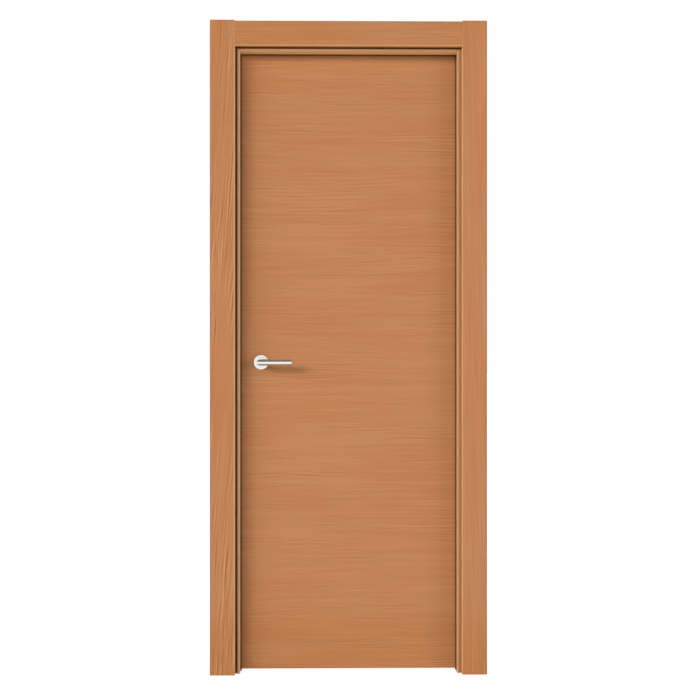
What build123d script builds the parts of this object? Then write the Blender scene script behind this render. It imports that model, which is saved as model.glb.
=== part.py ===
from build123d import *
import os

# Interior door set: a flush veneered leaf hung in a rebated, mitred frame with architraves on both
# faces of the wall, lift-off hinges and a pair of lever handles on round roses.
# Millimetres, +Z up. X runs along the wall, Y through it, and the leaf swings towards +Y.
# The origin is on the wall face of the hinge jamb, at floor level, in the middle of the frame depth.

# Leaf
LEAF_WIDTH = 725.0
LEAF_HEIGHT = 2030.0
LEAF_THICKNESS = 35.0
SKIN_THICKNESS = 4.0
STILE_WIDTH = 40.0
RAIL_HEIGHT = 70.0
LOCK_BLOCK_WIDTH = 120.0
LOCK_BLOCK_HEIGHT = 360.0
LEAF_GAP = 5.0
FLOOR_GAP = 5.0

# Frame
STOP_PROJECTION = 13.0
STOP_LENGTH = 33.0
SEAL_GAP = 5.0
JAMB_THICKNESS = 22.0
STOP_ROUND = 4.0
JOINT_GROOVE_WIDTH = 6.0
JOINT_GROOVE_DEPTH = 5.0

# Seal in the stop
SEAL_GROOVE_WIDTH = 4.0
SEAL_GROOVE_DEPTH = 7.0
SEAL_FIT = 0.2
SEAL_BULB_WIDTH = 8.0
SEAL_FLANGE = 1.5
SEAL_SHOW = 3.5
SEAL_BACK_GAP = 1.0
SEAL_LEAF_GAP = 0.4

# Architraves
ARCHITRAVE_WIDTH = 81.5
ARCHITRAVE_THICKNESS = 16.0
FRONT_REVEAL = 14.0
BACK_REVEAL = 10.0
SIDE_RISE = 2.0
ARCHITRAVE_ROUND = 4.0

# Hinges
HINGE_HEIGHT = 100.0
HINGE_PLATE_WIDTH = 27.0
HINGE_PLATE_THICKNESS = 2.5
HINGE_PLATE_ROUND = 8.0
HINGE_PLATE_FIT = 0.2
KNUCKLE_RADIUS = 7.0
KNUCKLE_OFFSET = 10.0
KNUCKLE_SPLIT = 0.5
KNUCKLE_CAP = 6.0
KNUCKLE_EASE = 2.0
PIN_RADIUS = 4.0
PIN_CLEARANCE = 0.06
TOP_HINGE_DOWN = 210.0
BOTTOM_HINGE_UP = 230.0

# Lock and strike
HANDLE_HEIGHT = 1014.0
BACKSET = 75.0
FOREND_WIDTH = 20.0
FOREND_HEIGHT = 190.0
FOREND_THICKNESS = 3.0
FOREND_ROUND = 6.0
CASE_DEPTH = 95.0
CASE_HEIGHT = 110.0
CASE_THICKNESS = 15.0
CASE_FIT = 0.3
FOLLOWER_RADIUS = 8.0
BOLT_WIDTH = 12.0
BOLT_HEIGHT = 32.0
BOLT_LENGTH = 30.0
BOLT_FIT = 0.4
BOLT_DROP = 45.0
STRIKE_WIDTH = 24.0
STRIKE_HEIGHT = 150.0
STRIKE_THICKNESS = 2.5
STRIKE_ROUND = 6.0
STRIKE_LIP_HEIGHT = 52.0
STRIKE_POCKET_DEPTH = 14.0
STRIKE_POCKET_MARGIN = 2.0

# Lever handles
ROSE_RADIUS = 25.0
ROSE_THICKNESS = 6.5
ROSE_EDGE = 2.5
ROSE_STEP_RADIUS = 16.5
ROSE_STEP_HEIGHT = 2.5
ROSE_STEP_EDGE = 1.0
LEVER_RADIUS = 10.0
LEVER_STANDOFF = 48.0
LEVER_LENGTH = 103.0
LEVER_END_EASE = 1.2
NECK_BEARING = 0.1
NECK_INSET = 2.0
SPINDLE_WIDTH = 8.0
SPINDLE_FIT = 0.1
SPINDLE_SEAT = 24.0
NECK_HOLE_RADIUS = 11.0

# Positions that follow from the sizes
FRAME_DEPTH = STOP_LENGTH + SEAL_GAP + LEAF_THICKNESS
FRONT_Y = -FRAME_DEPTH / 2
BACK_Y = FRAME_DEPTH / 2
SHOULDER_Y = FRONT_Y + STOP_LENGTH
LEAF_FRONT_Y = BACK_Y - LEAF_THICKNESS
LEAF_MID_Y = BACK_Y - LEAF_THICKNESS / 2
STOP_THICKNESS = JAMB_THICKNESS + STOP_PROJECTION
FRONT_EDGE_X = -STOP_THICKNESS + FRONT_REVEAL
HINGE_EDGE_X = -JAMB_THICKNESS - LEAF_GAP
LOCK_EDGE_X = HINGE_EDGE_X - LEAF_WIDTH
LOCK_REBATE_X = LOCK_EDGE_X - LEAF_GAP
LOCK_WALL_X = LOCK_REBATE_X - JAMB_THICKNESS
MIDDLE_X = LOCK_WALL_X / 2
LEAF_TOP_Z = FLOOR_GAP + LEAF_HEIGHT
HEAD_REBATE_Z = LEAF_TOP_Z + LEAF_GAP
FRAME_TOP_Z = HEAD_REBATE_Z + JAMB_THICKNESS
HEAD_STOP_Z = HEAD_REBATE_Z - STOP_PROJECTION
AXIS_X = HINGE_EDGE_X + LEAF_GAP / 2
AXIS_Y = BACK_Y + KNUCKLE_OFFSET
BOTTOM_HINGE_Z = FLOOR_GAP + BOTTOM_HINGE_UP
TOP_HINGE_Z = LEAF_TOP_Z - TOP_HINGE_DOWN
HINGE_LEVELS = {
    "bottom": BOTTOM_HINGE_Z,
    "middle": (BOTTOM_HINGE_Z + TOP_HINGE_Z) / 2,
    "top": TOP_HINGE_Z,
}
SPINDLE_X = LOCK_EDGE_X + BACKSET
BOLT_Z = HANDLE_HEIGHT - BOLT_DROP
MIRROR_PLANE = Plane(origin=(MIDDLE_X, 0, 0), z_dir=(1, 0, 0))
LEAF_PLANE = Plane(origin=(0, LEAF_MID_Y, 0), z_dir=(0, 1, 0))
HINGE_MITRE = Plane(origin=(0, 0, FRAME_TOP_Z), z_dir=(-1, 0, 1))
LOCK_MITRE = Plane(origin=(LOCK_WALL_X, 0, FRAME_TOP_Z), z_dir=(1, 0, 1))


def block(x0, x1, y0, y1, z0, z1):
    """A box between two corners."""
    low = Align.MIN
    size = Box(abs(x1 - x0), abs(y1 - y0), abs(z1 - z0), align=(low, low, low))
    return Pos(min(x0, x1), min(y0, y1), min(z0, z1)) * size


def rod(x, y, z0, z1, radius):
    """An upright cylinder between two levels."""
    foot = (Align.CENTER, Align.CENTER, Align.MIN)
    return Pos(x, y, z0) * Cylinder(radius, z1 - z0, align=foot)


def cross_rod(x, y0, y1, z, radius):
    """A cylinder lying through the wall, between two depths."""
    foot = (Align.CENTER, Align.CENTER, Align.MIN)
    lying = Rot(-90, 0, 0) * Cylinder(radius, y1 - y0, align=foot)
    return Pos(x, y0, z) * lying


# Frame members: one rebated section, mitred at the two top corners.
def frame_section():
    """The section of the hinge jamb, wall face at x = 0 and the doorway towards -X.

    A narrow groove lies along the edge of the front architrave, and another holds the seal.
    """
    outline = Polyline(
        (0, FRONT_Y),
        (-STOP_THICKNESS, FRONT_Y),
        (-STOP_THICKNESS, SHOULDER_Y),
        (-JAMB_THICKNESS, SHOULDER_Y),
        (-JAMB_THICKNESS, BACK_Y),
        (0, BACK_Y),
        close=True,
    )
    section = make_face(outline)
    arris = section.vertices().sort_by_distance((-STOP_THICKNESS, FRONT_Y, 0))[0]
    section = fillet(arris, STOP_ROUND)
    groove_x = -JAMB_THICKNESS - STOP_PROJECTION / 2
    groove_y = SHOULDER_Y - SEAL_GROOVE_DEPTH / 2
    groove = Pos(groove_x, groove_y) * Rectangle(SEAL_GROOVE_WIDTH, SEAL_GROOVE_DEPTH)
    joint_x = FRONT_EDGE_X - JOINT_GROOVE_WIDTH / 2
    joint_y = FRONT_Y + JOINT_GROOVE_DEPTH / 2
    joint = Pos(joint_x, joint_y) * Rectangle(JOINT_GROOVE_WIDTH, JOINT_GROOVE_DEPTH)
    return section - groove - joint


def seal_section():
    """The seal: a stem in the groove of the stop, a flange whose edge shows past the stop, a bulb."""
    groove_x = -JAMB_THICKNESS - STOP_PROJECTION / 2
    stem_width = SEAL_GROOVE_WIDTH - 2 * SEAL_FIT
    stem_depth = SEAL_GROOVE_DEPTH - SEAL_FIT
    stem = Pos(groove_x, SHOULDER_Y - stem_depth / 2) * Rectangle(stem_width, stem_depth)
    shown_x = -STOP_THICKNESS - SEAL_SHOW
    hidden_x = -JAMB_THICKNESS - SEAL_BACK_GAP
    flange_middle = (shown_x + hidden_x) / 2
    flange = Rectangle(hidden_x - shown_x, SEAL_FLANGE)
    flange = Pos(flange_middle, SHOULDER_Y + SEAL_FLANGE / 2) * flange
    half = SEAL_BULB_WIDTH / 2
    foot_y = SHOULDER_Y + SEAL_FLANGE
    dome = ThreePointArc(
        (groove_x - half, foot_y),
        (groove_x, SHOULDER_Y + SEAL_GAP - SEAL_LEAF_GAP),
        (groove_x + half, foot_y),
    )
    base = Line((groove_x + half, foot_y), (groove_x - half, foot_y))
    bulb = make_face(Curve() + [dome, base])
    return stem + flange + bulb


def upright_member(section):
    """A member beside the hinge edge, cut to the mitre at its top."""
    blank = extrude(section, amount=FRAME_TOP_Z, dir=(0, 0, 1))
    return split(blank, bisect_by=HINGE_MITRE, keep=Keep.BOTTOM)


def head_member(section):
    """A member over the leaf, cut to the mitre at both ends."""
    blank = extrude(section, amount=-LOCK_WALL_X, dir=(0, 0, 1))
    lying = Pos(0, 0, FRAME_TOP_Z) * Rot(0, -90, 0) * blank
    one_cut = split(lying, bisect_by=HINGE_MITRE, keep=Keep.TOP)
    return split(one_cut, bisect_by=LOCK_MITRE, keep=Keep.TOP)


# Hinges: two plates let in flush, a knuckle in two halves, and a pin fixed in the lower half.
def hinge_plate(face_x, into, level, spare):
    """The flat of a hinge half, let into an edge; spare widens it into its pocket."""
    reach = HINGE_PLATE_WIDTH + spare
    half = HINGE_HEIGHT / 2 + spare
    plate = block(face_x, face_x + into, BACK_Y - reach, BACK_Y, level - half, level + half)
    corners = plate.edges().filter_by(Axis.X).group_by(Axis.Y)[0]
    return fillet(corners, HINGE_PLATE_ROUND)


def hinge_web(face_x, into, z0, z1):
    """The strip that joins the flat of a hinge half to its knuckle."""
    return block(face_x, face_x + into, BACK_Y, AXIS_Y, z0, z1)


def knuckle(z0, z1, outer_end):
    """One half of the knuckle, bevelled at its outer end."""
    barrel = rod(AXIS_X, AXIS_Y, z0, z1, KNUCKLE_RADIUS)
    rims = barrel.edges().filter_by(GeomType.CIRCLE).sort_by(Axis.Z)
    return chamfer(rims[outer_end], KNUCKLE_EASE)


def frame_hinge(level):
    """The half on the jamb: plate, lower knuckle and the pin that stands in it."""
    foot = level - HINGE_HEIGHT / 2
    meet = level - KNUCKLE_SPLIT / 2
    pin_top = level + HINGE_HEIGHT / 2 - KNUCKLE_CAP
    plate = hinge_plate(-JAMB_THICKNESS, HINGE_PLATE_THICKNESS, level, 0)
    web = hinge_web(-JAMB_THICKNESS, HINGE_PLATE_THICKNESS, foot, meet)
    pin = rod(AXIS_X, AXIS_Y, meet, pin_top - KNUCKLE_SPLIT, PIN_RADIUS)
    return plate + web + knuckle(foot, meet, 0) + pin


def leaf_hinge(level):
    """The half on the leaf: plate and upper knuckle, bored blind for the pin."""
    meet = level + KNUCKLE_SPLIT / 2
    head = level + HINGE_HEIGHT / 2
    plate = hinge_plate(HINGE_EDGE_X, -HINGE_PLATE_THICKNESS, level, 0)
    web = hinge_web(HINGE_EDGE_X, -HINGE_PLATE_THICKNESS, meet, head - KNUCKLE_EASE)
    bore = rod(AXIS_X, AXIS_Y, meet, head - KNUCKLE_CAP, PIN_RADIUS + PIN_CLEARANCE)
    return plate + web + knuckle(meet, head, -1) - bore


def pockets(face_x, into):
    """The pockets of all hinge plates in one edge."""
    return [hinge_plate(face_x, into, level, HINGE_PLATE_FIT) for level in HINGE_LEVELS.values()]


# Strike plate, flush in the lock jamb, with the hole the bolt drops into and a lip that leads it there.
def strike_blank(spare):
    """The outline of the strike plate and its lip; spare widens it into its pocket."""
    half_width = STRIKE_WIDTH / 2 + spare
    half_height = STRIKE_HEIGHT / 2 + spare
    half_lip = STRIKE_LIP_HEIGHT / 2 + spare
    y0 = LEAF_MID_Y - half_width
    y1 = LEAF_MID_Y + half_width
    into = LOCK_REBATE_X - STRIKE_THICKNESS
    plate = block(into, LOCK_REBATE_X, y0, y1, BOLT_Z - half_height, BOLT_Z + half_height)
    plate = fillet(plate.edges().filter_by(Axis.X), STRIKE_ROUND + spare)
    lip = block(into, LOCK_REBATE_X, LEAF_MID_Y, BACK_Y, BOLT_Z - half_lip, BOLT_Z + half_lip)
    return plate + lip


def bolt_space(x0, x1, spare):
    """A block of the bolt's outline between two X values, wider by spare all round."""
    half_width = BOLT_WIDTH / 2 + spare
    half_height = BOLT_HEIGHT / 2 + spare
    y0 = LEAF_MID_Y - half_width
    y1 = LEAF_MID_Y + half_width
    return block(x0, x1, y0, y1, BOLT_Z - half_height, BOLT_Z + half_height)


def strike_pocket():
    """The hole for the bolt, through the strike and on into the jamb."""
    return bolt_space(LOCK_REBATE_X, LOCK_REBATE_X - STRIKE_POCKET_DEPTH, STRIKE_POCKET_MARGIN)


def hinge_jamb():
    jamb = upright_member(frame_section())
    for pocket in pockets(-JAMB_THICKNESS, HINGE_PLATE_THICKNESS):
        jamb = jamb - pocket
    return jamb


def lock_jamb():
    jamb = mirror(upright_member(frame_section()), about=MIRROR_PLANE)
    return jamb - strike_blank(HINGE_PLATE_FIT) - strike_pocket()


def strike_plate():
    return strike_blank(0) - strike_pocket()


# Architraves: flat boards with rounded front arrises, the uprights running past the head.
def architrave_side(reveal_x, wall_y, out_y, top):
    """The upright on the hinge side, from its edge near the doorway outwards."""
    board = block(reveal_x, reveal_x + ARCHITRAVE_WIDTH, wall_y, wall_y + out_y, 0, top)
    face = board.edges().filter_by(Axis.Z).group_by(Axis.Y)
    arrises = face[0] if out_y < 0 else face[-1]
    return fillet(arrises, ARCHITRAVE_ROUND)


def architrave_head(reveal_x, wall_y, out_y, foot):
    """The board over the doorway, butted between the two uprights."""
    far_x = LOCK_WALL_X - reveal_x
    board = block(far_x, reveal_x, wall_y, wall_y + out_y, foot, foot + ARCHITRAVE_WIDTH)
    face = board.edges().filter_by(Axis.X).group_by(Axis.Y)
    arrises = face[0] if out_y < 0 else face[-1]
    return fillet(arrises, ARCHITRAVE_ROUND)


def architrave_set(prefix, reveal_x, reveal_z, wall_y, out_y):
    """The three boards of one face of the wall, by node name."""
    top = reveal_z + ARCHITRAVE_WIDTH + SIDE_RISE
    side = architrave_side(reveal_x, wall_y, out_y, top)
    return {
        prefix + "_architrave_hinge_side": side,
        prefix + "_architrave_lock_side": mirror(side, about=MIRROR_PLANE),
        prefix + "_architrave_head": architrave_head(reveal_x, wall_y, out_y, reveal_z),
    }


# Leaf: two skins on a frame of stiles and rails, hollow between, with a block for the lock.
def skin(y0):
    panel = block(LOCK_EDGE_X, HINGE_EDGE_X, y0, y0 + SKIN_THICKNESS, FLOOR_GAP, LEAF_TOP_Z)
    hole = cross_rod(SPINDLE_X, y0, y0 + SKIN_THICKNESS, HANDLE_HEIGHT, NECK_HOLE_RADIUS)
    return panel - hole


def back_skin():
    panel = skin(BACK_Y - SKIN_THICKNESS)
    for pocket in pockets(HINGE_EDGE_X, -HINGE_PLATE_THICKNESS):
        panel = panel - pocket
    return panel


def core_block(x0, x1, z0, z1):
    """A piece of the inner frame, filling the space between the skins."""
    return block(x0, x1, LEAF_FRONT_Y + SKIN_THICKNESS, BACK_Y - SKIN_THICKNESS, z0, z1)


def hinge_stile():
    stile = core_block(HINGE_EDGE_X - STILE_WIDTH, HINGE_EDGE_X, FLOOR_GAP, LEAF_TOP_Z)
    for pocket in pockets(HINGE_EDGE_X, -HINGE_PLATE_THICKNESS):
        stile = stile - pocket
    return stile


def lock_stile():
    upright = core_block(LOCK_EDGE_X, LOCK_EDGE_X + STILE_WIDTH, FLOOR_GAP, LEAF_TOP_Z)
    half = LOCK_BLOCK_HEIGHT / 2
    pad_foot = HANDLE_HEIGHT - half
    pad_head = HANDLE_HEIGHT + half
    pad = core_block(LOCK_EDGE_X, LOCK_EDGE_X + LOCK_BLOCK_WIDTH, pad_foot, pad_head)
    y0 = LEAF_FRONT_Y + SKIN_THICKNESS
    y1 = BACK_Y - SKIN_THICKNESS
    hole = cross_rod(SPINDLE_X, y0, y1, HANDLE_HEIGHT, NECK_HOLE_RADIUS)
    return upright + pad - lock_body(CASE_FIT) - hole


def rail(z0):
    return core_block(LOCK_EDGE_X + STILE_WIDTH, HINGE_EDGE_X - STILE_WIDTH, z0, z0 + RAIL_HEIGHT)


# Lock: a forend flush in the edge of the leaf with its case behind.
def lock_body(spare):
    """The forend and case as one shape; spare widens it into the mortise."""
    half_forend = FOREND_WIDTH / 2 + spare
    half_case = CASE_THICKNESS / 2 + spare
    forend_z = FOREND_HEIGHT / 2 + spare
    case_z = CASE_HEIGHT / 2 + spare
    middle_z = HANDLE_HEIGHT - BOLT_DROP / 2
    step_x = LOCK_EDGE_X + FOREND_THICKNESS
    forend = block(
        LOCK_EDGE_X,
        step_x,
        LEAF_MID_Y - half_forend,
        LEAF_MID_Y + half_forend,
        middle_z - forend_z,
        middle_z + forend_z,
    )
    forend = fillet(forend.edges().filter_by(Axis.X), FOREND_ROUND + spare)
    case = block(
        step_x,
        LOCK_EDGE_X + CASE_DEPTH + spare,
        LEAF_MID_Y - half_case,
        LEAF_MID_Y + half_case,
        middle_z - case_z,
        middle_z + case_z,
    )
    return forend + case


def lock_case():
    half = CASE_THICKNESS / 2
    follower = cross_rod(
        SPINDLE_X, LEAF_MID_Y - half, LEAF_MID_Y + half, HANDLE_HEIGHT, FOLLOWER_RADIUS
    )
    return lock_body(0) - follower - bolt_space(LOCK_EDGE_X, LOCK_EDGE_X + BOLT_LENGTH, BOLT_FIT)


def latch_bolt():
    """The bolt, drawn back so that its nose is flush with the forend."""
    return bolt_space(LOCK_EDGE_X, LOCK_EDGE_X + BOLT_LENGTH, 0)


# Lever handles: a stepped round rose on each face, a mitred round lever, and the square spindle.
def front_rose():
    """A disc with a raised middle, turned from one profile and bored for the neck of the lever."""
    bore = LEVER_RADIUS + NECK_BEARING
    crown = ROSE_THICKNESS + ROSE_STEP_HEIGHT
    profile = Polyline(
        (bore, 0),
        (ROSE_RADIUS, 0),
        (ROSE_RADIUS, ROSE_THICKNESS - ROSE_EDGE),
        (ROSE_RADIUS - ROSE_EDGE, ROSE_THICKNESS),
        (ROSE_STEP_RADIUS, ROSE_THICKNESS),
        (ROSE_STEP_RADIUS, crown - ROSE_STEP_EDGE),
        (ROSE_STEP_RADIUS - ROSE_STEP_EDGE, crown),
        (bore, crown),
        close=True,
    )
    turned = revolve(Plane.XZ * make_face(profile), Axis.Z)
    return Pos(SPINDLE_X, LEAF_FRONT_Y, HANDLE_HEIGHT) * Rot(90, 0, 0) * turned


def front_lever():
    """A round bar mitred at a right angle: the neck out of the rose, and the level grip."""
    grip_y = LEAF_FRONT_Y - LEVER_STANDOFF
    start = (SPINDLE_X, LEAF_FRONT_Y - NECK_INSET, HANDLE_HEIGHT)
    corner = (SPINDLE_X, grip_y, HANDLE_HEIGHT)
    tip = (SPINDLE_X + LEVER_LENGTH, grip_y, HANDLE_HEIGHT)
    section = Plane(origin=start, z_dir=(0, -1, 0)) * Circle(LEVER_RADIUS)
    lever = sweep(section, path=Polyline(start, corner, tip), transition=Transition.RIGHT)
    ends = lever.edges().filter_by(GeomType.CIRCLE).sort_by(Axis.X)
    lever = chamfer(ends[-1], LEVER_END_EASE)
    half = SPINDLE_WIDTH / 2 + SPINDLE_FIT
    depth = LEAF_FRONT_Y - NECK_INSET - SPINDLE_SEAT - SPINDLE_FIT
    socket = block(
        SPINDLE_X - half,
        SPINDLE_X + half,
        depth,
        LEAF_FRONT_Y,
        HANDLE_HEIGHT - half,
        HANDLE_HEIGHT + half,
    )
    return lever - socket


def spindle():
    half = SPINDLE_WIDTH / 2
    reach = NECK_INSET + SPINDLE_SEAT
    return block(
        SPINDLE_X - half,
        SPINDLE_X + half,
        LEAF_FRONT_Y - reach,
        BACK_Y + reach,
        HANDLE_HEIGHT - half,
        HANDLE_HEIGHT + half,
    )


# Every piece by name
nodes = {
    "hinge_jamb": hinge_jamb(),
    "lock_jamb": lock_jamb(),
    "head_jamb": head_member(frame_section()),
    "hinge_side_seal": upright_member(seal_section()),
    "lock_side_seal": mirror(upright_member(seal_section()), about=MIRROR_PLANE),
    "head_seal": head_member(seal_section()),
    "strike_plate": strike_plate(),
    "front_skin": skin(LEAF_FRONT_Y),
    "back_skin": back_skin(),
    "hinge_stile": hinge_stile(),
    "lock_stile": lock_stile(),
    "top_rail": rail(LEAF_TOP_Z - RAIL_HEIGHT),
    "bottom_rail": rail(FLOOR_GAP),
    "lock_case": lock_case(),
    "latch_bolt": latch_bolt(),
    "front_rose": front_rose(),
    "back_rose": mirror(front_rose(), about=LEAF_PLANE),
    "front_lever": front_lever(),
    "back_lever": mirror(front_lever(), about=LEAF_PLANE),
    "spindle": spindle(),
}
BACK_EDGE_X = -JAMB_THICKNESS + BACK_REVEAL
FRONT_EDGE_Z = HEAD_STOP_Z + FRONT_REVEAL
BACK_EDGE_Z = HEAD_REBATE_Z + BACK_REVEAL
nodes.update(
    architrave_set("front", FRONT_EDGE_X, FRONT_EDGE_Z, FRONT_Y, -ARCHITRAVE_THICKNESS)
)
nodes.update(architrave_set("back", BACK_EDGE_X, BACK_EDGE_Z, BACK_Y, ARCHITRAVE_THICKNESS))
for place, level in HINGE_LEVELS.items():
    nodes[place + "_frame_hinge"] = frame_hinge(level)
    nodes[place + "_leaf_hinge"] = leaf_hinge(level)

os.makedirs("parts", exist_ok=True)
for name, shape in nodes.items():
    export_step(shape, os.path.join("parts", name + ".step"))
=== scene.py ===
import math
import bmesh
import bpy
from mathutils import Matrix, Vector


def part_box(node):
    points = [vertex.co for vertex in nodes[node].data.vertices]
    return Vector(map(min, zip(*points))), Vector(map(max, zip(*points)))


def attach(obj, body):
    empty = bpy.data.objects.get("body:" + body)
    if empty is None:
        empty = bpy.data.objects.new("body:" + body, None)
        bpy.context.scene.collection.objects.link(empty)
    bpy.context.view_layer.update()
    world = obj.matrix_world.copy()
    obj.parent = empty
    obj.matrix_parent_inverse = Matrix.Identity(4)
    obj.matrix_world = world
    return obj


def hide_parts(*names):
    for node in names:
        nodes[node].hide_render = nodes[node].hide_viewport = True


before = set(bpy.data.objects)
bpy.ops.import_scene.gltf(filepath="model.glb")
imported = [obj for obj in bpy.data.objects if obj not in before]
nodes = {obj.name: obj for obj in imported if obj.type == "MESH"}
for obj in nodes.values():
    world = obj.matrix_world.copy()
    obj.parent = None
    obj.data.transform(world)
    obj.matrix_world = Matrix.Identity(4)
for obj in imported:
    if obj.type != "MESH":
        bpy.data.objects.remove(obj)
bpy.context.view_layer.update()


# Leaf skins: two thin boards faced with steamed beech veneer laid with its grain across the door,
# stained a warm reddish brown and lacquered satin. Glued on the inner frame over their whole face.
def wood_tone(red, green, blue):
    """A colour as read off a screen, turned into the linear values that the shader takes."""
    def linear(level):
        share = level / 255.0
        return share / 12.92 if share <= 0.04045 else ((share + 0.055) / 1.055) ** 2.4
    return (linear(red), linear(green), linear(blue), 1.0)


def beech_veneer(name, upright, offset, bare, slant=0.0, figure=1.0, flame=0.055, tone=(188, 124.5, 76),
                 groove=None, painted_arrises=()):
    """Satin beech veneer, its grain along Z on an upright board and along X on a lying one.

    The offset picks a part of the log, slant tilts the grain in degrees, figure says how strongly the
    growth lines show and flame how far they wander, in metres. Faces turned to one of the bare directions
    show the raw board under the veneer. A groove gets painted shade or painted light of its own: it is
    given by its axis, its two sides on that axis, its depths on Y and the painted tone. Each painted arris
    is given by the way it faces and by its tone, a painted highlight or a painted shade.
    """
    finish = bpy.data.materials.new(name)
    finish.use_nodes = True
    tree = finish.node_tree
    tree.nodes.clear()

    def add(kind, **settings):
        node = tree.nodes.new(kind)
        for key, value in settings.items():
            setattr(node, key, value)
        return node

    def feed(socket, value):
        if isinstance(value, (int, float, tuple)):
            socket.default_value = value
        else:
            tree.links.new(value, socket)

    def stretched(source, waves):
        stretch = add("ShaderNodeMapping")
        stretch.inputs["Scale"].default_value = waves
        tree.links.new(source, stretch.inputs["Vector"])
        return stretch.outputs["Vector"]

    def noise(source, waves, detail, roughness=0.5):
        cloud = add("ShaderNodeTexNoise")
        cloud.inputs["Scale"].default_value = 1.0
        cloud.inputs["Detail"].default_value = detail
        cloud.inputs["Roughness"].default_value = roughness
        tree.links.new(stretched(source, waves), cloud.inputs["Vector"])
        return cloud.outputs["Fac"]

    def ramp(source, *stops):
        curve = add("ShaderNodeValToRGB")
        curve.color_ramp.interpolation = "EASE"
        for element, (place_on_ramp, level) in zip(curve.color_ramp.elements, stops):
            element.position = place_on_ramp
            element.color = (level, level, level, 1.0)
        tree.links.new(source, curve.inputs["Fac"])
        return curve.outputs["Color"]

    def sum_up(operation, first, second):
        node = add("ShaderNodeMath", operation=operation)
        feed(node.inputs[0], first)
        feed(node.inputs[1], second)
        return node.outputs["Value"]

    def added(first, second):
        node = add("ShaderNodeVectorMath", operation="ADD")
        tree.links.new(first, node.inputs[0])
        feed(node.inputs[1], second)
        return node.outputs["Vector"]

    def mix(factor, first, second):
        node = add("ShaderNodeMix", data_type="RGBA")
        feed(node.inputs["Factor"], factor)
        feed(node.inputs[6], first)
        feed(node.inputs[7], second)
        return node.outputs[2]

    def about_zero(pattern, height):
        return sum_up("MULTIPLY", sum_up("SUBTRACT", pattern, 0.5), height)

    def tint(under, pattern, full, none, share, step):
        """Moves the tone by a step where the pattern is at full, and leaves it from none on."""
        strength = ramp(pattern, *sorted(((full, 1.0), (none, 0.0))))
        return mix(sum_up("MULTIPLY", strength, share), under, wood_tone(*(level + step for level in tone)))

    def facing(direction):
        """How far a face is turned to a direction, 1 where it looks straight there."""
        turned = add("ShaderNodeVectorMath", operation="DOT_PRODUCT")
        turned.inputs[1].default_value = direction
        tree.links.new(place.outputs["Normal"], turned.inputs[0])
        return turned.outputs["Value"]

    # How many waves of each pattern go in a metre: along the grain, through the board and across.
    flame_waves, ripple_waves, cloud_waves = (1.5, 2.0, 4.2), (6.5, 8.0, 24.0), (1.7, 2.0, 9.0)
    swathe_waves, band_waves, thread_waves = (2.4, 4.0, 46.0), (2.6, 4.0, 13.0), (5.4, 40.0, 155.0)
    hair_waves, ray_waves, chip_waves = (40.0, 300.0, 1100.0), (240.0, 700.0, 900.0), (420.0, 420.0, 420.0)
    ripple_height, thread_gap = 0.008, 0.0036

    place = add("ShaderNodeTexCoord")
    turn = add("ShaderNodeMapping")
    turn.inputs["Location"].default_value = offset
    turn.inputs["Rotation"].default_value = (0.0, math.radians((90.0 if upright else 0.0) + slant), 0.0)
    tree.links.new(place.outputs["Object"], turn.inputs["Vector"])
    board = turn.outputs["Vector"]

    # The sheet was cut from a slightly wavy log, so its fibres rise and dip in long flames.
    flames = about_zero(noise(board, flame_waves, 1.0), flame)
    ripples = about_zero(noise(board, ripple_waves, 2.0), ripple_height)
    shift = add("ShaderNodeCombineXYZ")
    tree.links.new(sum_up("ADD", flames, ripples), shift.inputs["Z"])
    grain = added(board, shift.outputs["Vector"])

    # Each growth line shows as a dark thread with a pale one beside it, dense in some bands.
    beside = added(grain, (0.0, 0.0, thread_gap))
    threads = sum_up("SUBTRACT", noise(grain, thread_waves, 2.0, 0.55),
                     noise(beside, thread_waves, 2.0, 0.55))
    bands = ramp(noise(board, band_waves, 2.0), (0.36, 0.30), (0.60, 1.0))
    threads = sum_up("ADD", sum_up("MULTIPLY", threads, bands), 0.5)
    hairs = noise(grain, hair_waves, 2.0, 0.6)
    clouds = ramp(noise(grain, cloud_waves, 3.0, 0.55), (0.36, 0.0), (0.64, 1.0))
    swathes = noise(grain, swathe_waves, 2.0, 0.6)

    # Beech has rays too: short dark dashes along the grain, a few millimetres long.
    ray = add("ShaderNodeTexVoronoi")
    ray.inputs["Scale"].default_value = 1.0
    tree.links.new(stretched(grain, ray_waves), ray.inputs["Vector"])
    rays = ray.outputs["Distance"]

    red, green, blue = tone
    faint, strong = min(figure, 1.0), max(figure, 1.0)
    colour = mix(clouds, wood_tone(red + 1, green - 3, blue - 2.5), wood_tone(red - 1, green + 3, blue + 3))
    colour = tint(colour, swathes, full=0.32, none=0.50, share=0.5, step=-9)
    colour = tint(colour, swathes, full=0.68, none=0.50, share=0.5, step=9)
    colour = tint(colour, threads, full=0.24, none=0.475, share=faint, step=-13 * strong)
    colour = tint(colour, threads, full=0.76, none=0.525, share=faint, step=10 * strong)
    colour = tint(colour, hairs, full=0.34, none=0.50, share=0.16, step=-26)
    colour = tint(colour, rays, full=0.10, none=0.26, share=0.22, step=-44)

    satin, hair_dullness, raw_dullness, groove_dullness = 0.38, 0.10, 0.35, 0.4
    gloss = sum_up("ADD", sum_up("MULTIPLY", hairs, hair_dullness), satin)

    # Painted highlight and shade: faces turned to each given direction, mostly the rounded arrises, are
    # painted a paler tone where light would catch them, or a darker one where they turn from the light.
    for direction, painted_arris_tone in painted_arrises:
        arris_paint_mask = ramp(facing(direction), (0.80, 0.0), (0.93, 0.85))
        colour = mix(arris_paint_mask, colour, wood_tone(*painted_arris_tone))

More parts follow.
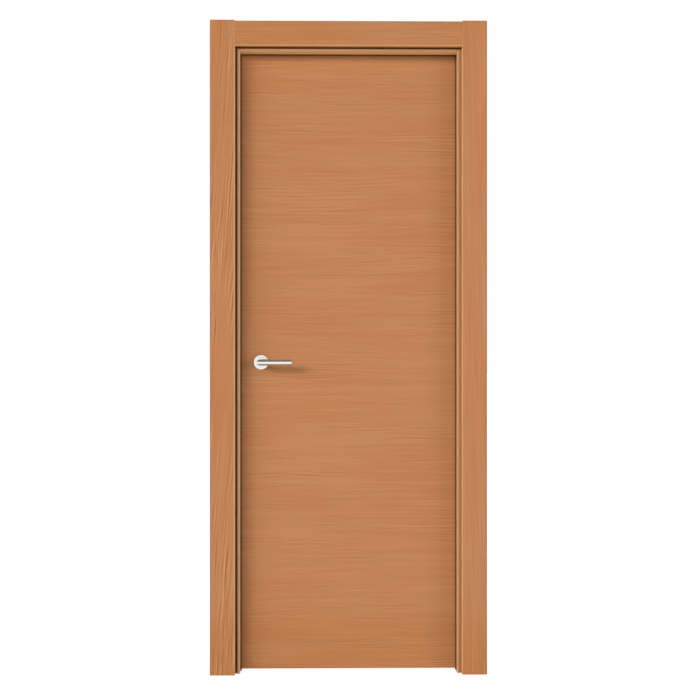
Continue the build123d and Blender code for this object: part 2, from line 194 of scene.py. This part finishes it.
    # The raw board is a pale fibreboard with a fine mottle.
    chips = ramp(noise(place.outputs["Object"], chip_waves, 3.0, 0.6), (0.35, 0.0), (0.65, 1.0))
    fibreboard = mix(chips, wood_tone(158, 120, 82), wood_tone(184, 148, 108))
    raw = 0.0
    for direction in bare:
        raw = sum_up("MAXIMUM", raw, sum_up("GREATER_THAN", facing(direction), 0.9))
    colour = mix(raw, colour, fibreboard)
    gloss = sum_up("ADD", gloss, sum_up("MULTIPLY", raw, raw_dullness))

    # Painted shade or painted light in the groove: its faces get a flat tone of their own and a duller gloss.
    if groove:
        axis, near_side, far_side, mouth, bottom, groove_paint = groove
        parts = add("ShaderNodeSeparateXYZ")
        tree.links.new(place.outputs["Object"], parts.inputs["Vector"])
        within = 1.0
        for part, test, limit in ((axis, "GREATER_THAN", near_side), (axis, "LESS_THAN", far_side),
                                  ("Y", "GREATER_THAN", mouth), ("Y", "LESS_THAN", bottom)):
            within = sum_up("MULTIPLY", within, sum_up(test, parts.outputs[part], limit))
        colour = mix(within, colour, wood_tone(*groove_paint))
        gloss = sum_up("ADD", gloss, sum_up("MULTIPLY", within, groove_dullness))

    relief = add("ShaderNodeBump")
    relief.inputs["Strength"].default_value = 0.06
    relief.inputs["Distance"].default_value = 0.0002
    tree.links.new(hairs, relief.inputs["Height"])
    shader = add("ShaderNodeBsdfPrincipled")
    shader.inputs["Specular IOR Level"].default_value = 0.25
    shader.inputs["Coat Weight"].default_value = 0.35
    shader.inputs["Coat Roughness"].default_value = 0.18
    tree.links.new(colour, shader.inputs["Base Color"])
    tree.links.new(gloss, shader.inputs["Roughness"])
    tree.links.new(relief.outputs["Normal"], shader.inputs["Normal"])
    output = add("ShaderNodeOutputMaterial")
    tree.links.new(shader.outputs["BSDF"], output.inputs["Surface"])
    return finish


def dress(node, finish):
    """Gives one finish to the whole of a CAD piece."""
    slots = nodes[node].data.materials
    slots.clear()
    slots.append(finish)


up, down = (0.0, 0.0, 1.0), (0.0, 0.0, -1.0)
for node, veneer, offset in (("front_skin", "leaf_front_veneer", (0.31, 0.0, 0.17)),
                             ("back_skin", "leaf_back_veneer", (3.7, 0.0, 2.9))):
    dress(node, beech_veneer(veneer, False, offset, (up, down), figure=0.82, flame=0.028))


# Leaf edges: the stiles and rails of softwood between the skins, their outer edges lipped with the
# same veneer, its grain along each edge. The lock stile is widened by a block behind the handle.
for node, veneer, upright, offset, bare in (
        ("hinge_stile", "hinge_edge_lipping", True, (5.1, 0.0, 1.3), (up, down)),
        ("lock_stile", "lock_edge_lipping", True, (7.4, 0.0, 2.2), (up, down)),
        ("top_rail", "top_edge_wood", False, (9.2, 0.0, 4.1), (up,)),
        ("bottom_rail", "bottom_edge_wood", False, (1.9, 0.0, 6.6), (down,))):
    dress(node, beech_veneer(veneer, upright, offset, bare))


# Frame: two jambs and a head of veneer-wrapped board with a rebate for the leaf, mitred at the top
# corners and screwed together. The grain follows each member and the wall side is left raw. The groove
# along the architraves carries painted shade, dark on the lock side and at the head, and painted light on
# the hinge side, where it is pale. The arrises towards the doorway carry a painted highlight, and on the
# head the whole underside is painted paler, as if lit from below.
jamb_tone, painted_groove_shade, painted_groove_light = (190, 138, 92), (116, 76, 36), (224, 168, 114)
arris_highlight, faint_arris_highlight = (226, 182, 138), (208, 160, 112)
to_hinges, to_lock = (1.0, 0.0, 0.0), (-1.0, 0.0, 0.0)
slope = math.sqrt(0.5)
groove_width, groove_depth, slack = 0.006, 0.005, 0.0001
front_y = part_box("lock_jamb")[0][1]
hinge_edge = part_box("front_architrave_hinge_side")[0][0]
lock_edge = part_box("front_architrave_lock_side")[1][0]
head_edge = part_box("front_architrave_head")[0][2]
for node, upright, offset, bare, arris_paint, axis, near_side, groove_paint in (
        ("hinge_jamb", True, (2.4, 0.0, 8.3), (to_hinges, down), ((-slope, -slope, 0.0), faint_arris_highlight),
         "X", hinge_edge - groove_width, painted_groove_light),
        ("lock_jamb", True, (6.2, 0.0, 3.8), (to_lock, down), ((slope, -slope, 0.0), arris_highlight),
         "X", lock_edge, painted_groove_shade),
        ("head_jamb", False, (4.4, 0.0, 9.7), (up,), (down, faint_arris_highlight),
         "Z", head_edge - groove_width, painted_groove_shade)):
    groove = (axis, near_side - slack, near_side + groove_width + slack,
              front_y + slack, front_y + groove_depth + slack, groove_paint)
    dress(node, beech_veneer(node + "_veneer", upright, offset, bare, figure=0.5, flame=0.02, tone=jamb_tone,
                             groove=groove, painted_arrises=(arris_paint,)))


# Architraves: flat boards with rounded arrises, wrapped in veneer along their length. The uprights
# run past the head board, which is butted between them, and all are pinned to the frame.
hairline = 1e-6


def box_corners(node):
    """The lowest and the highest corner of a CAD piece."""
    return [Vector(corner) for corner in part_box(node)]


def block(form, low, high):
    """Adds a plain block between two corners."""
    size = Matrix.Diagonal((*(high - low), 1.0))
    bmesh.ops.create_cube(form, size=1.0, matrix=Matrix.Translation((low + high) / 2) @ size)


def ease(form, geom, radius, steps, affect="EDGES"):
    """Rounds edges, or the corners of an outline."""
    bmesh.ops.bevel(form, geom=geom, offset=radius, offset_type="OFFSET", segments=steps, profile=0.5,
                    affect=affect, material=-1)


def finished(form, name, finish):
    """Makes an object of a shape that is already in place, with smooth faces and crisp edges."""
    crisp = math.radians(38)
    bmesh.ops.remove_doubles(form, verts=form.verts, dist=hairline)
    bmesh.ops.recalc_face_normals(form, faces=form.faces)
    for face in form.faces:
        face.smooth = True
    for edge in form.edges:
        if len(edge.link_faces) == 2 and edge.calc_face_angle() > crisp:
            edge.smooth = False
    mesh = bpy.data.meshes.new(name)
    form.to_mesh(mesh)
    form.free()
    mesh.materials.append(finish)
    piece = bpy.data.objects.new(name, mesh)
    bpy.context.scene.collection.objects.link(piece)
    flat = piece.modifiers.new("flat_faces", "WEIGHTED_NORMAL")
    flat.keep_sharp = True
    return piece


def architrave_board(node, upright, finish):
    """A board with its two long outer arrises well rounded and its other edges just eased."""
    low, high = box_corners(node)
    face_y = low.y if node.startswith("front") else high.y
    along = 2 if upright else 0
    arris_radius, end_ease, widest, square = 0.004, 0.0005, 0.1, 1.5
    form = bmesh.new()
    block(form, low, high)

    def is_long(edge):
        return abs((edge.verts[0].co - edge.verts[1].co)[along]) > widest

    def on_face(edge):
        return all(abs(corner.co.y - face_y) < hairline for corner in edge.verts)

    ease(form, [e for e in form.edges if is_long(e) and on_face(e)], arris_radius, steps=6)
    ends = [e for e in form.edges
            if not is_long(e) and len(e.link_faces) == 2 and e.calc_face_angle() > square]
    ease(form, ends, end_ease, steps=2)
    piece = finished(form, node + "_board", finish)
    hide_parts(node)
    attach(piece, "frame")


# Each architrave's inner arris gets a painted highlight, stronger on the lock side, and its outer arris a
# painted shade.
arris_shade = (152, 102, 64)
to_room, to_back = (0.0, -1.0, 0.0), (0.0, 1.0, 0.0)
for node, upright, offset, slant, figure in (
        ("front_architrave_lock_side", True, (8.1, 0.0, 0.6), -4.0, 2.6),
        ("front_architrave_hinge_side", True, (3.3, 0.0, 5.2), 1.0, 0.6),
        ("front_architrave_head", False, (0.9, 0.0, 7.5), 0.0, 0.8),
        ("back_architrave_lock_side", True, (5.6, 0.0, 9.1), 3.0, 1.2),
        ("back_architrave_hinge_side", True, (1.2, 0.0, 4.7), -2.0, 1.2),
        ("back_architrave_head", False, (7.7, 0.0, 3.1), 0.0, 1.1)):
    on_front, on_lock_side = node.startswith("front"), "lock" in node
    wall_side = to_back if on_front else to_room
    outward = -slope if on_front else slope
    inward = slope if on_lock_side else -slope
    inner = (inward, outward, 0.0) if upright else (0.0, outward, -slope)
    outer = (-inward, outward, 0.0) if upright else (0.0, outward, slope)
    finish = beech_veneer(node + "_veneer", upright, offset,
                          (wall_side, up, down) if upright else (wall_side, up),
                          slant, figure, flame=0.03,
                          painted_arrises=((inner, arris_highlight if on_lock_side else faint_arris_highlight), (outer, arris_shade)))
    dress(node, finish)
    architrave_board(node, upright, finish)


# Seals: extruded dark brown soft plastic, pushed into a groove of the stop. The edge of their flange
# shows as a thin dark line round the leaf.
def speckled(name, waves, detail, dark, pale, smooth, dull, **sockets):
    """A finish that goes from dark to pale and from smooth to dull in a fine pattern of waves a metre."""
    finish = bpy.data.materials.new(name)
    finish.use_nodes = True
    tree = finish.node_tree
    shader = tree.nodes["Principled BSDF"]
    place = tree.nodes.new("ShaderNodeTexCoord")
    stretch = tree.nodes.new("ShaderNodeMapping")
    stretch.inputs["Scale"].default_value = waves
    pattern = tree.nodes.new("ShaderNodeTexNoise")
    pattern.inputs["Scale"].default_value = 1.0
    pattern.inputs["Detail"].default_value = detail
    tones = tree.nodes.new("ShaderNodeValToRGB")
    tones.color_ramp.elements[0].color = dark
    tones.color_ramp.elements[1].color = pale
    dullness = tree.nodes.new("ShaderNodeMapRange")
    dullness.inputs["To Min"].default_value = smooth
    dullness.inputs["To Max"].default_value = dull
    tree.links.new(place.outputs["Object"], stretch.inputs["Vector"])
    tree.links.new(stretch.outputs["Vector"], pattern.inputs["Vector"])
    tree.links.new(pattern.outputs["Fac"], tones.inputs["Fac"])
    tree.links.new(pattern.outputs["Fac"], dullness.inputs["Value"])
    tree.links.new(tones.outputs["Color"], shader.inputs["Base Color"])
    tree.links.new(dullness.outputs["Result"], shader.inputs["Roughness"])
    for socket, value in sockets.items():
        shader.inputs[socket].default_value = value
    return finish


brown_plastic = speckled("brown_seal", (900.0, 900.0, 900.0), detail=3.0, dark=wood_tone(90, 57, 26),
                         pale=wood_tone(108, 70, 36), smooth=0.6, dull=0.6, **{"Specular IOR Level": 0.3})
for seal in ("hinge_side_seal", "lock_side_seal", "head_seal"):
    dress(seal, brown_plastic)


# Hinges, lock and strike: stamped and turned steel, nickel plated and brushed to a satin sheen. Hinge
# plates, forend and strike plate are let into the wood and held by countersunk screws.
nickel = speckled("satin_nickel", (2500.0, 2500.0, 60.0), detail=2.0, dark=(0.54, 0.53, 0.51, 1.0),
                  pale=(0.66, 0.65, 0.62, 1.0), smooth=0.26, dull=0.40, Metallic=1.0)
for fitting in ("lock_case", "latch_bolt", "strike_plate", "spindle"):
    dress(fitting, nickel)


def hinge_half(node, body, inward):
    """A stamped plate with two round corners, the strip rolled out of it and its half of the knuckle."""
    low, high = box_corners(node)
    plate_thick, face_offset, edge_offset, corner_radius, rim_ease = 0.0025, 0.0025, 0.010, 0.008, 0.0003
    strip_thick, strip_lap, strip_short, half_gap = 0.0024, 0.001, 0.002, 0.00025
    barrel_sides, outer_ease, inner_ease = 56, 0.0019, 0.0003
    radius = (high.x - low.x) / 2
    axis_x, axis_y, middle_z = (low.x + high.x) / 2, high.y - radius, (low.z + high.z) / 2
    edge_y, face_x = axis_y - edge_offset, axis_x - inward * face_offset
    plate_x = face_x - inward * plate_thick / 2
    upper = body == "leaf"
    foot, head = (middle_z + half_gap, high.z) if upper else (low.z, middle_z - half_gap)
    strip_foot, strip_head = (foot, head - strip_short) if upper else (foot + strip_short, head)
    form = bmesh.new()

    def slab(thick, y0, y1, z0, z1):
        block(form, Vector((plate_x - thick / 2, y0, z0)), Vector((plate_x + thick / 2, y1, z1)))

    def level_with(edge, part, value):
        return all(abs(corner.co[part] - value) < hairline for corner in edge.verts)

    slab(plate_thick, low.y, edge_y, low.z, high.z)
    corners = [e for e in form.edges if level_with(e, 1, low.y)
               and abs(e.verts[0].co.x - e.verts[1].co.x) > plate_thick / 2]
    ease(form, corners, corner_radius, steps=10)
    ease(form, [e for e in form.edges if level_with(e, 0, face_x)], rim_ease, steps=2)
    slab(strip_thick, edge_y - strip_lap, axis_y, strip_foot, strip_head)
    lay = Matrix.Translation((axis_x, axis_y, (foot + head) / 2))
    barrel = bmesh.ops.create_cone(form, cap_ends=True, segments=barrel_sides, radius1=radius, radius2=radius,
                                   depth=head - foot, matrix=lay)["verts"]
    outer_z, inner_z = (head, foot) if upper else (foot, head)
    for end_z, radius_there, steps in ((outer_z, outer_ease, 5), (inner_z, inner_ease, 2)):
        rim = [v for v in barrel if v.is_valid and abs(v.co.z - end_z) < hairline]
        ease(form, [e for e in form.edges if all(v in rim for v in e.verts)], radius_there, steps)
    piece = finished(form, node + "_smooth", nickel)
    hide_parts(node)
    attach(piece, body)
    return Vector((face_x, (low.y + edge_y) / 2, middle_z))


def stacked_rings(form, lay, rings):
    """Circles of given sides, radius and rise, bridged into a skin. Gives back the edges of the last."""
    loops = []
    for sides, radius, rise in rings:
        ring = bmesh.ops.create_circle(form, segments=sides, radius=radius,
                                       matrix=lay @ Matrix.Translation((0, 0, rise)))["verts"]
        loops.append([e for e in form.edges if e.verts[0] in ring])
    for first, second in zip(loops, loops[1:]):
        bmesh.ops.bridge_loops(form, edges=first + second)
    return loops[-1]


def screw_heads(name, body, places, facing, radius):
    """Raised countersunk screws with a cross recess, standing on a face that looks along facing."""
    sides, crown_rise, recess_depth = 24, 0.00066, 0.0006
    arm, half = radius * 0.45, radius * 0.11
    outline = [(arm, -half), (arm, half), (half, half), (half, arm), (-half, arm), (-half, half),
               (-arm, half), (-arm, -half), (-half, -half), (-half, -arm), (half, -arm), (half, -half)]
    dome = [(sides, radius * share, rise) for share, rise in
            ((1.0, 0.0), (0.93, 0.00025), (0.75, 0.0005), (0.55, 0.00062))]
    turn = facing.to_track_quat("Z", "Y").to_matrix().to_4x4()
    form = bmesh.new()
    for place in places:
        lay = Matrix.Translation(place) @ turn
        top = stacked_rings(form, lay, dome)
        cross = [form.verts.new(lay @ Vector((x, y, crown_rise))) for x, y in outline]
        brim = [form.edges.new((a, b)) for a, b in zip(cross, cross[1:] + cross[:1])]
        bmesh.ops.bridge_loops(form, edges=top + brim)
        sunk = bmesh.ops.extrude_edge_only(form, edges=brim)["geom"]
        bmesh.ops.translate(form, verts=[g for g in sunk if isinstance(g, bmesh.types.BMVert)],
                            vec=facing * -recess_depth)
        bmesh.ops.contextual_create(form, geom=[g for g in sunk if isinstance(g, bmesh.types.BMEdge)
                                                and len(g.link_faces) == 1])
    piece = finished(form, name, nickel)
    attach(piece, body)


hinge_screw, lock_screw = 0.0042, 0.0040
hinge_holes = ((0.0055, 0.040), (-0.0055, 0.016), (-0.0055, -0.016), (0.0055, -0.040))
for level in ("top", "middle", "bottom"):
    for body, inward in (("frame", -1), ("leaf", 1)):
        hinge = level + "_" + body + "_hinge"
        centre = hinge_half(hinge, body, inward)
        places = [centre + Vector((0, side, rise)) for side, rise in hinge_holes]
        screw_heads(hinge + "_screws", body, places, Vector((inward, 0, 0)), hinge_screw)

forend_low, forend_high = box_corners("lock_case")
forend_y = (forend_low.y + forend_high.y) / 2
for name, body, plate, facing, from_end in (("forend_screws", "leaf", "lock_case", -1, 0.012),
                                            ("strike_screws", "frame", "strike_plate", 1, 0.022)):
    low, high = box_corners(plate)
    face_x = low.x if facing < 0 else high.x
    places = [Vector((face_x, forend_y, z)) for z in (low.z + from_end, high.z - from_end)]
    screw_heads(name, body, places, Vector((facing, 0, 0)), lock_screw)


# Lever handles: round bar mitred at a right angle, and a stepped round rose, both of brass
# plated with bright chrome. The lever turns in the rose and is pinned on the square spindle.
chrome = speckled("bright_chrome", (260.0, 260.0, 260.0), detail=4.0, dark=(0.84, 0.84, 0.82, 1.0),
                  pale=(0.91, 0.91, 0.89, 1.0), smooth=0.09, dull=0.17, Metallic=1.0)


def turned_rose(name, node, outward):
    """A rose spun from its half profile, with the edges of the disc and of its middle rounded."""
    low, high = box_corners(node)
    middle = (low + high) / 2
    face_y = high.y if outward < 0 else low.y
    radius = (high.x - low.x) / 2
    lift, disc, crown, step, bore = 0.0002, 0.0065, 0.009, 0.0165, 0.0101
    disc_round, step_round, turns = 0.0026, 0.0011, 96
    form = bmesh.new()
    outline = ((bore, lift), (radius, lift), (radius, disc), (step, disc), (step, crown), (bore, crown))
    corners = [form.verts.new((middle.x + r, face_y + outward * d, middle.z)) for r, d in outline]
    for first, second in zip(corners, corners[1:] + corners[:1]):
        form.edges.new((first, second))
    ease(form, [corners[2]], disc_round, steps=6, affect="VERTICES")
    rim = [v for v in form.verts if abs(v.co.x - middle.x - step) < hairline
           and abs(v.co.y - face_y) > crown - hairline]
    ease(form, rim, step_round, steps=4, affect="VERTICES")
    bmesh.ops.spin(form, geom=form.verts[:] + form.edges[:], cent=middle, axis=(0, 1, 0), dvec=(0, 0, 0),
                   angle=math.tau, steps=turns, use_merge=True)
    piece = finished(form, name, chrome)
    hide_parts(node)
    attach(piece, "leaf")


def mitred_lever(name, node, outward):
    """A lever of two lengths of bar, each drawn out of a circle, cut on the mitre and joined there."""
    rose_low, rose_high = box_corners(node.replace("lever", "rose"))
    low, high = box_corners(node)
    neck_inset, bar_sides, mitre_ease, tip_ease = 0.0025, 64, 0.0004, 0.0012
    radius = (high.z - low.z) / 2
    axis = (rose_low + rose_high) / 2
    grip_y = low.y + radius if outward < 0 else high.y - radius
    foot_y = (rose_high.y if outward < 0 else rose_low.y) + outward * neck_inset
    corner = Vector((axis.x, grip_y, axis.z))
    neck_run = Vector((0, grip_y - foot_y + outward * 2 * radius, 0))
    grip_run = Vector((low.x - high.x - radius, 0, 0))
    form = bmesh.new()
    for foot, turn, run in ((Vector((axis.x, foot_y, axis.z)), "X", neck_run),
                            (Vector((high.x, grip_y, axis.z)), "Y", grip_run)):
        lay = Matrix.Translation(foot) @ Matrix.Rotation(math.radians(90), 4, turn)
        ring = bmesh.ops.create_circle(form, cap_ends=True, radius=radius, segments=bar_sides,
                                       matrix=lay)["verts"]
        rim = [edge for edge in form.edges if edge.verts[0] in ring]
        grown = bmesh.ops.extrude_edge_only(form, edges=rim)["geom"]
        drawn = [g for g in grown if isinstance(g, bmesh.types.BMVert)]
        bmesh.ops.translate(form, verts=drawn, vec=run)
        bar = ring + drawn
        parts = bar + [g for g in form.edges[:] + form.faces[:] if all(v in bar for v in g.verts)]
        bmesh.ops.bisect_plane(form, geom=parts, plane_co=corner, plane_no=(-1, -outward, 0),
                               clear_inner=turn == "X", clear_outer=turn == "Y")
    bmesh.ops.remove_doubles(form, verts=form.verts, dist=hairline)
    bmesh.ops.recalc_face_normals(form, faces=form.faces)

    def on_mitre(edge):
        return all(abs(v.co.x - corner.x + outward * (v.co.y - corner.y)) < hairline for v in edge.verts)

    ease(form, [e for e in form.edges if on_mitre(e)], mitre_ease, steps=2)
    tip = [e for e in form.edges if all(v.co.x > high.x - hairline for v in e.verts)]
    ease(form, tip, tip_ease, steps=4)
    piece = finished(form, name, chrome)
    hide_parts(node)
    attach(piece, "handle")


def set_screw(name, node, outward):
    """The hexagon socket screw under a neck that holds it on the spindle."""
    rose_low, rose_high = box_corners(node.replace("lever", "rose"))
    neck_foot = box_corners(node)[0].z
    tip_y = rose_low.y if outward < 0 else rose_high.y
    from_rose, proud = 0.009, 0.00012
    rings = ((32, 0.0025, -0.0006), (32, 0.0025, -0.0001), (32, 0.0023, 0.0001),
             (6, 0.00145, 0.0001), (6, 0.0014, -0.0012))
    lay = Matrix.Translation(((rose_low.x + rose_high.x) / 2, tip_y + outward * from_rose, neck_foot - proud))
    form = bmesh.new()
    socket = stacked_rings(form, lay @ Matrix.Rotation(math.pi, 4, "X"), rings)
    bmesh.ops.contextual_create(form, geom=socket)
    piece = finished(form, name, nickel)
    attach(piece, "handle")


turned_rose("front_rose_turned", "front_rose", -1)
turned_rose("back_rose_turned", "back_rose", 1)
mitred_lever("front_lever_bar", "front_lever", -1)
mitred_lever("back_lever_bar", "back_lever", 1)
set_screw("front_set_screw", "front_lever", -1)
set_screw("back_set_screw", "back_lever", 1)


# Studio: a plain white floor that keeps a faint shadow, and white all round. Bright metal mirrors the
# white, and the wood gets only the dim light that the floor and the room would give back.
floor_half, floor_centre = 30.0, (-0.39, 0.0, -0.0005)
floor_form = bmesh.new()
bmesh.ops.create_grid(floor_form, x_segments=1, y_segments=1, size=floor_half)
floor_mesh = bpy.data.meshes.new("studio_floor")
floor_form.to_mesh(floor_mesh)
floor_form.free()
floor = bpy.data.objects.new("studio_floor", floor_mesh)
bpy.context.scene.collection.objects.link(floor)
floor.location = floor_centre
floor.visible_shadow = False
paper = bpy.data.materials.new("white_paper")
paper.use_nodes = True
tree = paper.node_tree
tree.nodes.clear()
seen = tree.nodes.new("ShaderNodeLightPath")
matt = tree.nodes.new("ShaderNodeBsdfDiffuse")
matt.inputs["Color"].default_value = (0.20, 0.24, 0.14, 1.0)
glow = tree.nodes.new("ShaderNodeEmission")
glow.inputs["Strength"].default_value = 1.0
soft = tree.nodes.new("ShaderNodeBsdfDiffuse")
soft.inputs["Color"].default_value = (0.20, 0.20, 0.20, 1.0)
halo = tree.nodes.new("ShaderNodeEmission")
halo.inputs["Strength"].default_value = 0.87
shown = tree.nodes.new("ShaderNodeAddShader")
mirrors = tree.nodes.new("ShaderNodeMath")
mirrors.operation = "MAXIMUM"
pick_mirror = tree.nodes.new("ShaderNodeMixShader")
pick = tree.nodes.new("ShaderNodeMixShader")
end = tree.nodes.new("ShaderNodeOutputMaterial")
tree.links.new(soft.outputs[0], shown.inputs[0])
tree.links.new(halo.outputs[0], shown.inputs[1])
tree.links.new(seen.outputs["Is Glossy Ray"], mirrors.inputs[0])
tree.links.new(seen.outputs["Is Transmission Ray"], mirrors.inputs[1])
tree.links.new(mirrors.outputs[0], pick_mirror.inputs["Fac"])
tree.links.new(matt.outputs[0], pick_mirror.inputs[1])
tree.links.new(glow.outputs[0], pick_mirror.inputs[2])
tree.links.new(seen.outputs["Is Camera Ray"], pick.inputs["Fac"])
tree.links.new(pick_mirror.outputs[0], pick.inputs[1])
tree.links.new(shown.outputs[0], pick.inputs[2])
tree.links.new(pick.outputs[0], end.inputs["Surface"])
floor_mesh.materials.append(paper)

world = bpy.data.worlds.new("white_studio")
bpy.context.scene.world = world
world.use_nodes = True
tree = world.node_tree
tree.nodes.clear()
seen = tree.nodes.new("ShaderNodeLightPath")
dim = tree.nodes.new("ShaderNodeBackground")
dim.inputs["Color"].default_value = (0.88, 1.24, 0.68, 1.0)
dim.inputs["Strength"].default_value = 0.125
white = tree.nodes.new("ShaderNodeBackground")
white.inputs["Color"].default_value = (1.0, 1.0, 1.0, 1.0)
white.inputs["Strength"].default_value = 1.0
mirrors = tree.nodes.new("ShaderNodeMath")
mirrors.operation = "MAXIMUM"
any_view = tree.nodes.new("ShaderNodeMath")
any_view.operation = "MAXIMUM"
pick = tree.nodes.new("ShaderNodeMixShader")
end = tree.nodes.new("ShaderNodeOutputWorld")
tree.links.new(seen.outputs["Is Glossy Ray"], mirrors.inputs[0])
tree.links.new(seen.outputs["Is Transmission Ray"], mirrors.inputs[1])
tree.links.new(seen.outputs["Is Camera Ray"], any_view.inputs[0])
tree.links.new(mirrors.outputs[0], any_view.inputs[1])
tree.links.new(any_view.outputs[0], pick.inputs["Fac"])
tree.links.new(dim.outputs[0], pick.inputs[1])
tree.links.new(white.outputs[0], pick.inputs[2])
tree.links.new(pick.outputs[0], end.inputs["Surface"])


# Lamps: three soft ones far off on the left, two lower and cooler ones on the right, weak ones under
# and over the door, and two behind it for the far side. Polished metal doesn't mirror them.
def far_lamp(name, left, rise, spread, front, tint=(1.0, 1.0, 1.0)):
    """A lamp left and up in degrees as seen from the door, front being its light on an upright face."""
    side, height = math.radians(left), math.radians(rise)
    level = math.cos(height)
    lamp = bpy.data.lights.new(name, "SUN")
    lamp.angle = math.radians(spread)
    lamp.energy = math.pi * front / abs(math.cos(side) * level)
    lamp.color = tint
    holder = bpy.data.objects.new(name, lamp)
    bpy.context.scene.collection.objects.link(holder)
    towards = Vector((-math.sin(side) * level, -math.cos(side) * level, math.sin(height)))
    holder.rotation_euler = (-towards).to_track_quat("-Z", "Y").to_euler()
    holder.visible_glossy = False


rosy, cool = (0.972, 0.947, 1.09), (0.98, 0.945, 1.11)
far_lamp("key_lamp", 27.0, 23.0, 15.0, 0.15, rosy)
far_lamp("side_lamp", 45.0, 23.0, 20.0, 0.28, rosy)
far_lamp("left_lamp", 63.0, 12.0, 24.0, 0.12, rosy)
far_lamp("right_lamp", -60.0, 8.0, 28.0, 0.195, cool)
far_lamp("half_right_lamp", -34.0, 8.0, 36.0, 0.085, cool)
far_lamp("under_lamp", 0.0, -86.0, 24.0, 0.052)
far_lamp("top_lamp", 0.0, 86.0, 20.0, 0.015)
far_lamp("back_lamp", 208.0, 26.0, 20.0, 0.68, rosy)
far_lamp("far_side_lamp", 140.0, 12.0, 30.0, 0.19, cool)


# Cards: a grey-green one hangs under the ceiling and a brown one lies at the foot of the door. Only
# bright metal shows them, as the dark bands along a lever.
for name, centre, half_x, half_y, tone in (
        ("ceiling_card", (-0.4, -2.0, 3.6), 3.0, 3.0, (0.15, 0.17, 0.12)),
        ("floor_card", (-0.4, 0.0, 0.0005), 0.9, 0.60, (0.26, 0.20, 0.15))):
    card_form = bmesh.new()
    bmesh.ops.create_grid(card_form, x_segments=1, y_segments=1, size=1.0,
                          matrix=Matrix.Translation(centre) @ Matrix.Diagonal((half_x, half_y, 1.0, 1.0)))
    card_mesh = bpy.data.meshes.new(name)
    card_form.to_mesh(card_mesh)
    card_form.free()
    card = bpy.data.objects.new(name, card_mesh)
    bpy.context.scene.collection.objects.link(card)
    card_tone = bpy.data.materials.new(name + "_tone")
    card_tone.use_nodes = True
    tree = card_tone.node_tree
    tree.nodes.clear()
    dusk = tree.nodes.new("ShaderNodeEmission")
    dusk.inputs["Color"].default_value = (*tone, 1.0)
    end = tree.nodes.new("ShaderNodeOutputMaterial")
    tree.links.new(dusk.outputs[0], end.inputs["Surface"])
    card_mesh.materials.append(card_tone)
    card.visible_camera = False
    card.visible_diffuse = False
    card.visible_shadow = False


# Camera: a plain lens straight in front of the door, a little above the middle of its height. Its
# focal length and its shift are given in pixels of a square picture.
film_width, picture_width, focal_length, shift_up = 36.0, 696.0, 991.6, -6.15
camera = bpy.data.cameras.new("view")
camera.sensor_width = film_width
camera.lens = focal_length / picture_width * film_width
camera.shift_y = shift_up / picture_width
eye = bpy.data.objects.new("view", camera)
bpy.context.scene.collection.objects.link(eye)
eye.location = (-0.4281, -3.2681, 1.0809)
eye.rotation_euler = (math.radians(90.0), 0.0, math.radians(-0.649))
bpy.context.scene.camera = eye
bpy.context.scene.view_settings.view_transform = "Standard"
